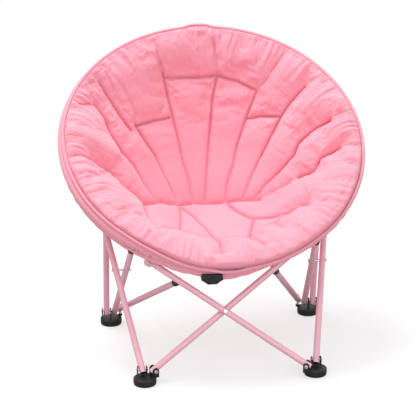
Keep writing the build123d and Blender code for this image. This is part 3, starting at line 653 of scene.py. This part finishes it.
# the cloth is a little larger than the bowl, and the stuffing pushes it out between the seams
half_row = SKIN_CELLS // 2 + 1
pick = (np.arange(half_row)[:, None] * 2 * row + np.arange(half_row)[None] * 2).ravel()
sheet_mesh = bpy.data.meshes.new("sewn_sheet")
start = to_world(*raised[pick].T)
sheet_mesh.from_pydata(start.tolist(), [], grid_faces(half_row - 1))
sewn_sheet = bpy.data.objects.new("sewn_sheet", sheet_mesh)
bpy.context.scene.collection.objects.link(sewn_sheet)
held = sewn_sheet.vertex_groups.new(name="held")
fixed = (gap[pick] < 0.7 * cell * 2) | (to_rim[pick] < 0.012)
held.add([int(i) for i in np.flatnonzero(fixed)], 1.0, "REPLACE")
stuffing = sewn_sheet.modifiers.new("stuffing", "CLOTH")
stuffing.settings.quality = 6
stuffing.settings.mass = 0.25
stuffing.settings.tension_stiffness = 18
stuffing.settings.compression_stiffness = 18
stuffing.settings.shear_stiffness = 6
stuffing.settings.bending_stiffness = 0.12
stuffing.settings.tension_damping = 8
stuffing.settings.compression_damping = 8
stuffing.settings.shear_damping = 8
stuffing.settings.air_damping = 4
stuffing.settings.shrink_min = -CLOTH_GROWTH
stuffing.settings.use_pressure = True
stuffing.settings.uniform_pressure_force = CLOTH_PRESSURE
stuffing.settings.vertex_group_mass = "held"
stuffing.settings.effector_weights.gravity = 0.0
stuffing.collision_settings.use_collision = False
stuffing.collision_settings.use_self_collision = False
stuffing.point_cache.frame_start = 1
stuffing.point_cache.frame_end = CLOTH_FRAMES + 1
for step in range(1, CLOTH_FRAMES + 1):
    bpy.context.scene.frame_set(step)
shaped = sewn_sheet.evaluated_get(bpy.context.evaluated_depsgraph_get())
moved = np.array([v.co for v in shaped.data.vertices]) - start
bpy.context.scene.frame_set(1)
bpy.data.objects.remove(sewn_sheet)
size = np.linalg.norm(moved, axis=1)
moved *= (np.tanh(size / SWELL_CAP) * SWELL_CAP / np.maximum(size, 1e-9))[:, None]
# back to every place of the fine grid, smoothly, in ring-plane directions
turned = np.stack([moved[:, 0], moved @ np.array(RING_REAR), moved @ np.array(RING_UP)], 1)
coarse = turned.reshape(half_row, half_row, 3)
fine = np.zeros((row, row, 3))
fine[::2, ::2] = coarse
padded_rows = np.concatenate([coarse[:1], coarse, coarse[-1:]], 0)
fine[1::2, ::2] = (9 * (coarse[:-1] + coarse[1:]) - padded_rows[:-3] - padded_rows[3:]) / 16
columns = fine[:, ::2]
ends = np.concatenate([columns[:, :1], columns, columns[:, -1:]], 1)
fine[:, 1::2] = (9 * (columns[:, :-1] + columns[:, 1:]) - ends[:, :-3] - ends[:, 3:]) / 16
swell_share = np.clip(gap / 0.012, 0, 1) * (PANEL_SWELL + (1 - PANEL_SWELL) * lobe)
raised = raised + fine.reshape(-1, 3) * swell_share[:, None]
raised = raised + out_way * folds[:, None]

# lead the outer part of the skin to the corded edge, and keep it outside the sleeve on the ring
clear = SLEEVE_RADIUS + SKIN_GAP
edge_out, edge_up = edge_place(turn_of, EDGE_LEAD, clear)
lead = np.clip((np.hypot(*disc.T) - EDGE_START) / (SKIN_RADIUS - EDGE_START), 0, 1) ** 2
outwards = np.stack([np.sin(turn_of), -np.cos(turn_of)], 1)
edge_out = edge_out * (1 + (HUMP_HALF / SLEEVE_RADIUS - 1) * hinge_hump(x))
raised[:, :2] += outwards * (lead * (RING_RADIUS + edge_out - SKIN_RADIUS))[:, None]
raised[:, 2] += lead * (edge_up - SKIN_LEVEL)
beside = np.hypot(raised[:, 0], raised[:, 1]) - RING_RADIUS
over_tube = np.sqrt(np.maximum(clear**2 - beside**2, 0))
boxed = np.maximum(1 - (beside / (HUMP_HALF + HUMP_ROOM)) ** 4, 0) ** 0.25 * (HUMP_HEIGHT + HUMP_ROOM)
over_tube = over_tube + np.maximum(boxed - over_tube, 0) * hinge_hump(x)
covers = (to_rim < 0.06) & (np.abs(beside) < 0.024)
raised[:, 2] = np.where(covers & (to_rim > 1e-6), np.maximum(raised[:, 2], over_tube), raised[:, 2])
edge_lift = (HUMP_HEIGHT - SLEEVE_RADIUS) * hinge_hump(x) * np.clip(edge_up / clear, 0, 1)
raised[:, 2] += np.where(to_rim > 1e-6, 0, edge_lift)

skin_mesh = bpy.data.meshes.new("skin")
skin_mesh.from_pydata(to_world(*raised.T).tolist(), [], grid_faces(SKIN_CELLS))
# painted shade, stored on the skin for its material: darkest along the seams, and darker along soft folds,
# pleat valleys, the rim and behind the seam between back and seat
shade_attribute = skin_mesh.attributes.new("painted_crease_shade", "FLOAT", "POINT")
seat_gap, seat_place, _ = near_seam(disc, [CUSHION_SEAMS[SEAT_SEAM]])
behind_seat = np.clip((s - seat_place[:, 1]) / 0.006, 0, 1)
pleat_valley = np.exp(-((pleats[0] / PLEAT_SHADE_WIDTH) ** 2)) * np.exp(-to_rim / PLEAT_SHADE_REACH)
painted_shade_level = SEAM_SHADE * np.exp(-((gap / SEAM_SHADE_WIDTH) ** 2))
for shade in (
    FOLD_SHADE * np.exp(-fold_gap / FOLD_SHADE_WIDTH),
    SEAT_SHADE * np.exp(-seat_gap / SEAT_SHADE_WIDTH) * behind_seat,
    PLEAT_SHADE * pleat_valley,
    RIM_SHADE * np.exp(-to_rim / RIM_SHADE_WIDTH),
):
    painted_shade_level = np.maximum(painted_shade_level, shade)
shade_attribute.data.foreach_set("value", painted_shade_level)
skin = bpy.data.objects.new("skin", skin_mesh)
bpy.context.scene.collection.objects.link(skin)
smooth = skin.modifiers.new("smooth", "SUBSURF")
smooth.levels = smooth.render_levels = 1
top_mesh = bpy.data.meshes.new_from_object(skin.evaluated_get(bpy.context.evaluated_depsgraph_get()))
bpy.data.objects.remove(skin)

# close it: down the inside of the ring and round below as the plain outer cover
build = bmesh.new()
build.from_mesh(top_mesh)
rim_edges = [e for e in build.edges if e.is_boundary]
rim_loop = sorted(
    {v for e in rim_edges for v in e.verts},
    key=lambda v: np.arctan2(v.co.x, -(v.co - RING_CENTRE).dot(RING_REAR)),
)
turns = np.array([np.arctan2(v.co.x, -(v.co - RING_CENTRE).dot(RING_REAR)) for v in rim_loop])
over_hinge = (HUMP_HEIGHT - SLEEVE_RADIUS) * hinge_hump(RING_RADIUS * np.sin(turns))
loops = [rim_loop]
rings = []
edge_turn = np.radians(np.interp(np.degrees(turns), EDGE_ANGLES, EDGE_TURNS)) + EDGE_LEAD
under_skin = SLEEVE_RADIUS + UNDER_SKIN_GAP
for part in (0.25, 0.5, 0.75, 1.0):
    # back over the sleeve, just under the top skin, to the inner side of the ring
    turn = edge_turn + (pi - edge_turn) * part
    rings.append(
        (
            RING_RADIUS + under_skin * np.cos(turn),
            under_skin * np.sin(turn) + over_hinge * np.sin(turn) ** 0.5,
        )
    )
rings.append((UNDER_RADIUS, 0 * turns + UNDER_LEVEL))
for radius, up in rings:
    spots = to_world(radius * np.sin(turns), -radius * np.cos(turns), up)
    loops.append([build.verts.new(co) for co in spots])
for k in range(1, UNDER_RINGS):
    keep = (1 - k / UNDER_RINGS) ** 0.9
    ux = keep * UNDER_RADIUS * np.sin(turns)
    us = -POLE_FORWARD + keep * (-UNDER_RADIUS * np.cos(turns) + POLE_FORWARD)
    below, part = bowl_height(ux, us, UNDER_RADIUS, UNDER_POLE, UNDER_MIDDLE, UNDER_LEVEL)
    below = below - UNDER_SAG * np.abs(np.sin(turns * 4)) ** 0.5 * np.sin(pi * np.clip(part, 0, 1))
    loops.append([build.verts.new(co) for co in to_world(ux, us, below)])
for first, second in zip(loops[:-1], loops[1:]):
    for j in range(len(turns)):
        m = (j + 1) % len(turns)
        build.faces.new((first[j], first[m], second[m], second[j]))
bottom = build.verts.new(to_world(np.zeros(1), np.full(1, -POLE_FORWARD), np.full(1, -UNDER_POLE))[0])
for j in range(len(turns)):
    build.faces.new((loops[-1][j], loops[-1][(j + 1) % len(turns)], bottom))
bmesh.ops.recalc_face_normals(build, faces=build.faces)
build.normal_update()
whole = bpy.data.meshes.new("whole")
build.to_mesh(whole)
build.free()
whole_verts = np.array([v.co for v in whole.vertices])
whole_normals = np.array([v.normal for v in whole.vertices])
# the two halves take the whole bowl's normals along the cut, so that no line shows there
CUT_CLEARANCE = 0.00002
near_cut = np.flatnonzero(np.abs(whole_verts[:, 0]) < 0.008)
tree_of_cut = KDTree(len(near_cut))
for number, index in enumerate(near_cut):
    tree_of_cut.insert(whole_verts[index], number)
tree_of_cut.balance()

for side, sign in (("left", -1), ("right", 1)):
    build = bmesh.new()
    build.from_mesh(whole)
    cut = bmesh.ops.bisect_plane(
        build,
        geom=build.verts[:] + build.edges[:] + build.faces[:],
        plane_co=(sign * CUT_CLEARANCE, 0, 0),
        plane_no=(-sign, 0, 0),
        clear_outer=True,
    )
    for face in build.faces:
        face.smooth = True
    edges = [e for e in build.edges if e.is_boundary]
    filled = bmesh.ops.edgeloop_fill(build, edges=edges)["faces"]
    for edge in edges:
        edge.smooth = False
    filled = bmesh.ops.triangulate(build, faces=filled)["faces"]
    for face in filled:
        face.smooth = False
    bmesh.ops.recalc_face_normals(build, faces=build.faces)
    mesh = bpy.data.meshes.new(f"{side}_cushion")
    build.to_mesh(mesh)
    build.free()
    normals = [(0.0, 0.0, 0.0)] * len(mesh.loops)
    for polygon in mesh.polygons:
        if polygon.use_smooth:
            for loop in polygon.loop_indices:
                co = mesh.vertices[mesh.loops[loop].vertex_index].co
                if abs(co.x) < 0.0002:
                    near = tree_of_cut.find_n(co, 3)
                    weight = np.array([1 / (d + 1e-5) for _, _, d in near])
                    mix = sum(w * whole_normals[near_cut[i]] for w, (_, i, _) in zip(weight, near))
                    normals[loop] = tuple(mix / np.linalg.norm(mix))
    mesh.normals_split_custom_set(normals)
    mesh.materials.append(cloth)
    cushion = bpy.data.objects.new(f"{side}_cushion", mesh)
    bpy.context.scene.collection.objects.link(cushion)
    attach(cushion, f"{side}_ring")
    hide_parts(f"{side}_seat_pad", f"{side}_seat_shell")
    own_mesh(cushion)

# ---- rim cover: a sleeve of the same cloth round the ring tube, with a corded edge and a skirt ----
# The sleeve is closed round the tube and cut away where the clips and brackets hold it. The
# corded edge runs where the cushion meets it, and a short skirt hangs from its front part.
SLEEVE_WALL = 0.0016
CORD_RADIUS = 0.0042
CORD_GAP = 0.0026
CORD_TURN = radians(-6)  # the cord lies this far below the cushion's edge
SKIRT_WALL = 0.0022
SKIRT_TURN = radians(-28.0)  # where the skirt leaves the sleeve, down from outwards
SKIRT_END = 78.0  # degrees from the front
SKIRT_STEPS = 8
SKIRT_RIGHT_SHARE = 0.45  # the right side's skirt is drawn up
SLEEVE_STEPS = 720
CORD_SIDES = 14
HOLD_ANGLES = (31.0, 37.0, 118.5)  # clips and brackets hold the tube here, in degrees from the front
HOLD_HALF = 2.4
END_GAP = 0.00008  # between the two halves of the cover, as a turn
COVER_EDGE = 0.0315  # the hinge leaves reach this far from the middle


def rim_place(turn, sign, out, up):
    """Place beside the ring tube's middle line: out from the ring centre, and up from the ring plane."""
    radius = RING_RADIUS + out
    return to_world(sign * radius * np.sin(turn), -radius * np.cos(turn), up)


def on_sleeve(angle, radius, over):
    """Out and up on the sleeve at an angle round the tube; it is squared off where it covers a hinge."""
    out, up = radius * np.cos(angle), radius * np.sin(angle)
    wide = COVER_HALF * np.sign(np.cos(angle)) * np.abs(np.cos(angle)) ** 0.5 - out
    high = HUMP_HEIGHT * np.clip(np.sin(angle), 0, 1) ** 0.5 - up
    out = out + wide * np.clip(np.sin(angle) * 4, 0, 1) * over
    return out, up + high * (np.sin(angle) > 0) * over


def sleeve_wrinkle(run, angle):
    """Small unevenness of the sleeve along the ring, fullest on its underside."""
    wrinkle = 0.0008 * ripple(run, 0.020, 11) + 0.0005 * ripple(run, 0.009, 12)
    return wrinkle * (0.2 + 0.8 * np.maximum(-np.sin(angle), 0))


def closed_strip(name, rings, material, ring_body):
    """Solid through one closed loop of places after another, riding on one half of the ring."""
    grid = np.stack(rings, 1)
    length, count = grid.shape[:2]
    faces = [tuple(range(count)), tuple((length - 1) * count + k for k in range(count))]
    for i in range(length - 1):
        here, ahead = i * count, (i + 1) * count
        for k in range(count):
            m = (k + 1) % count
            faces.append((here + k, here + m, ahead + m, ahead + k))
    mesh = bpy.data.meshes.new(name)
    mesh.from_pydata(grid.reshape(-1, 3).tolist(), [], faces)
    build = bmesh.new()
    build.from_mesh(mesh)
    bmesh.ops.triangulate(build, faces=[f for f in build.faces if len(f.verts) > 4])
    bmesh.ops.recalc_face_normals(build, faces=build.faces)
    for face in build.faces:
        ends = {v.index // count for v in face.verts}
        face.smooth = ends not in ({0}, {length - 1})
    for edge in build.edges:
        edge.smooth = all(face.smooth for face in edge.link_faces)
    build.to_mesh(mesh)
    build.free()
    mesh.materials.append(material)
    strip = bpy.data.objects.new(name, mesh)
    bpy.context.scene.collection.objects.link(strip)
    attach(strip, ring_body)
    return strip


for side, sign in (("left", -1), ("right", 1)):
    turns = np.linspace(END_GAP, pi - END_GAP, SLEEVE_STEPS + 1)
    degrees = np.degrees(turns)
    run = turns * RING_RADIUS
    x = RING_RADIUS * np.sin(turns)
    over = hinge_hump(x)
    held = np.min([np.abs(degrees - a) for a in HOLD_ANGLES], axis=0) < HOLD_HALF
    held |= x < COVER_EDGE
    lower = np.where(held, radians(-8.0), radians(-89.0))
    lower_back = np.where(held, radians(188.0), radians(269.0))
    rings = []
    steps = 28
    for wall, shares in ((SLEEVE_WALL, np.arange(steps + 1)), (0.0, np.arange(steps, -1, -1))):
        for share in shares / steps:
            a = lower + (lower_back - lower) * share
            radius = SLEEVE_RADIUS - SLEEVE_WALL + wall + sleeve_wrinkle(run + 5 * sign, a)
            rings.append(rim_place(turns, sign, *on_sleeve(a, radius, over)))
    cover = closed_strip(f"{side}_rim_cover", rings, cloth, f"{side}_ring")
    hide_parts(f"{side}_rim_sleeve")

    # the corded edge, which lies against the cushion's edge and is lifted over the hinges
    rings = []
    thick = CORD_RADIUS * (1 + 0.05 * ripple(run, 0.013, 21))
    middle_out, middle_up = edge_place(sign * turns, CORD_TURN, SLEEVE_RADIUS + CORD_GAP)
    middle_out = middle_out * (1 + (HUMP_HALF / SLEEVE_RADIUS - 1) * over)
    middle_up = middle_up + (HUMP_HEIGHT - SLEEVE_RADIUS) * over * np.clip(middle_up / SLEEVE_RADIUS, 0, 1)
    for k in range(CORD_SIDES):
        a = 2 * pi * k / CORD_SIDES
        rings.append(rim_place(turns, sign, middle_out + thick * np.cos(a), middle_up + thick * np.sin(a)))
    closed_strip(f"{side}_rim_cord", rings, cloth, f"{side}_ring")

    # the skirt: it leaves the sleeve low on its outer side and hangs straight down
    near_front = turns[degrees < SKIRT_END]
    angle = np.degrees(near_front)
    skirt_run = near_front * RING_RADIUS
    hang = 0.012 * np.exp(-((angle / 50) ** 2)) + 0.010 * np.exp(-((angle / 14) ** 2)) + 0.002
    if side == "right":
        hang = hang * (1 - (1 - SKIRT_RIGHT_SHARE) * np.clip(angle / 14, 0, 1))
    hang = hang * np.clip((SKIRT_END - angle) / 10, 0.05, 1)
    hang = hang * (1 + 0.10 * ripple(skirt_run, 0.06, 41 + sign))
    sway = 0.0012 * ripple(skirt_run, 0.035, 51 + sign)
    down_out, down_up = np.cos(near_front) * sin(RING_TILT), -cos(RING_TILT) + 0 * near_front
    top_out, top_up = SLEEVE_RADIUS * cos(SKIRT_TURN), SLEEVE_RADIUS * sin(SKIRT_TURN)
    rings = []
    down = [(k / SKIRT_STEPS, 0.0) for k in range(SKIRT_STEPS + 1)]
    back_up = [(1 - k / SKIRT_STEPS, SKIRT_WALL) for k in range(SKIRT_STEPS + 1)]
    for drop, depth in down + [(1.03, SKIRT_WALL / 2)] + back_up:
        in_way = depth * cos(SKIRT_TURN) + 0.0004
        out = top_out - in_way + down_out * hang * drop + sway * drop**2
        up = top_up + down_up * hang * drop
        rings.append(rim_place(near_front, sign, out, up))
    closed_strip(f"{side}_rim_skirt", rings, cloth, f"{side}_ring")

# ---- rim stitches: one row of thread that holds the corded edge to the sleeve ----
# Twisted polyester thread, a little darker than the cloth, sewn right below the piping. Each
# stitch dips into the cloth at both ends.
STITCH_PITCH = 0.0058
STITCH_LENGTH = 0.0042
STITCH_THICK = 0.0009
STITCH_TURN = radians(-25.0)  # below the corded edge, round the sleeve
STITCH_START = 0.006  # turn from the fold at which each row starts and ends
thread = finish(
    "pink_thread",
    {
        "Colour": (0.900, 0.300, 0.390, 1),
        "Dark Colour": (0.860, 0.260, 0.350, 1),
        "Blotch Scale": 60.0,
        "Grain Scale": 2600.0,
        "Roughness": 0.55,
        "Roughness Spread": 0.15,
    },
    bump=0.4,
    distance=0.00008,
)

sewing = bpy.data.node_groups.new("stitch_row", "GeometryNodeTree")
sewing.interface.new_socket("Seam", in_out="INPUT", socket_type="NodeSocketGeometry")
STITCH_SIZES = {"Pitch": STITCH_PITCH, "Length": STITCH_LENGTH, "Thickness": STITCH_THICK}
sockets = {}
for label in STITCH_SIZES:
    socket = sewing.interface.new_socket(label, in_out="INPUT", socket_type="NodeSocketFloat")
    sockets[label] = socket.identifier
sewing.interface.new_socket("Stitches", in_out="OUTPUT", socket_type="NodeSocketGeometry")
seam_in = sewing.nodes.new("NodeGroupInput")
seam_out = sewing.nodes.new("NodeGroupOutput")
seam_curve = sewing.nodes.new("GeometryNodeMeshToCurve")
spaced = sewing.nodes.new("GeometryNodeResampleCurve")
spaced.mode = "LENGTH"
one_stitch = sewing.nodes.new("GeometryNodeMeshUVSphere")
one_stitch.inputs["Segments"].default_value = 7
one_stitch.inputs["Rings"].default_value = 5
one_stitch.inputs["Radius"].default_value = 0.5
placed = sewing.nodes.new("GeometryNodeInstanceOnPoints")
tangent = sewing.nodes.new("GeometryNodeInputTangent")
aligned = sewing.nodes.new("FunctionNodeAlignRotationToVector")
aligned.axis = "Z"
stretched = sewing.nodes.new("ShaderNodeCombineXYZ")
real = sewing.nodes.new("GeometryNodeRealizeInstances")
sewn = sewing.nodes.new("GeometryNodeSetMaterial")
sewn.inputs["Material"].default_value = thread
rounded = sewing.nodes.new("GeometryNodeSetShadeSmooth")
for start, end in (
    (seam_in.outputs["Seam"], seam_curve.inputs["Mesh"]),
    (seam_curve.outputs["Curve"], spaced.inputs["Curve"]),
    (seam_in.outputs["Pitch"], spaced.inputs["Length"]),
    (spaced.outputs["Curve"], placed.inputs["Points"]),
    (one_stitch.outputs["Mesh"], placed.inputs["Instance"]),
    (tangent.outputs["Tangent"], aligned.inputs["Vector"]),
    (aligned.outputs["Rotation"], placed.inputs["Rotation"]),
    (seam_in.outputs["Thickness"], stretched.inputs["X"]),
    (seam_in.outputs["Thickness"], stretched.inputs["Y"]),
    (seam_in.outputs["Length"], stretched.inputs["Z"]),
    (stretched.outputs["Vector"], placed.inputs["Scale"]),
    (placed.outputs["Instances"], real.inputs["Geometry"]),
    (real.outputs["Geometry"], rounded.inputs["Geometry"]),
    (rounded.outputs["Geometry"], sewn.inputs["Geometry"]),
    (sewn.outputs["Geometry"], seam_out.inputs["Stitches"]),
):
    sewing.links.new(start, end)

for side, sign in (("left", -1), ("right", 1)):
    turns = np.linspace(STITCH_START, pi - STITCH_START, SLEEVE_STEPS + 1)
    over = hinge_hump(RING_RADIUS * np.sin(turns))
    angle = np.radians(np.interp(np.degrees(sign * turns), EDGE_ANGLES, EDGE_TURNS)) + STITCH_TURN
    radius = SLEEVE_RADIUS + sleeve_wrinkle(turns * RING_RADIUS + 5 * sign, angle)
    line = rim_place(turns, sign, *on_sleeve(angle, radius, over))
    line_mesh = bpy.data.meshes.new(f"{side}_seam_line")
    line_mesh.from_pydata(line.tolist(), [(i, i + 1) for i in range(SLEEVE_STEPS)], [])
    seam = bpy.data.objects.new(f"{side}_seam_line", line_mesh)
    bpy.context.scene.collection.objects.link(seam)
    row_of = seam.modifiers.new("stitches", "NODES")
    row_of.node_group = sewing
    for label, value in STITCH_SIZES.items():
        row_of[sockets[label]] = value
    evaluated = seam.evaluated_get(bpy.context.evaluated_depsgraph_get())
    stitch_mesh = bpy.data.meshes.new_from_object(evaluated)
    seam.modifiers.remove(row_of)
    bpy.data.objects.remove(seam)
    stitch_mesh.name = f"{side}_rim_stitches"
    stitches = bpy.data.objects.new(f"{side}_rim_stitches", stitch_mesh)
    bpy.context.scene.collection.objects.link(stitches)
    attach(stitches, f"{side}_ring")
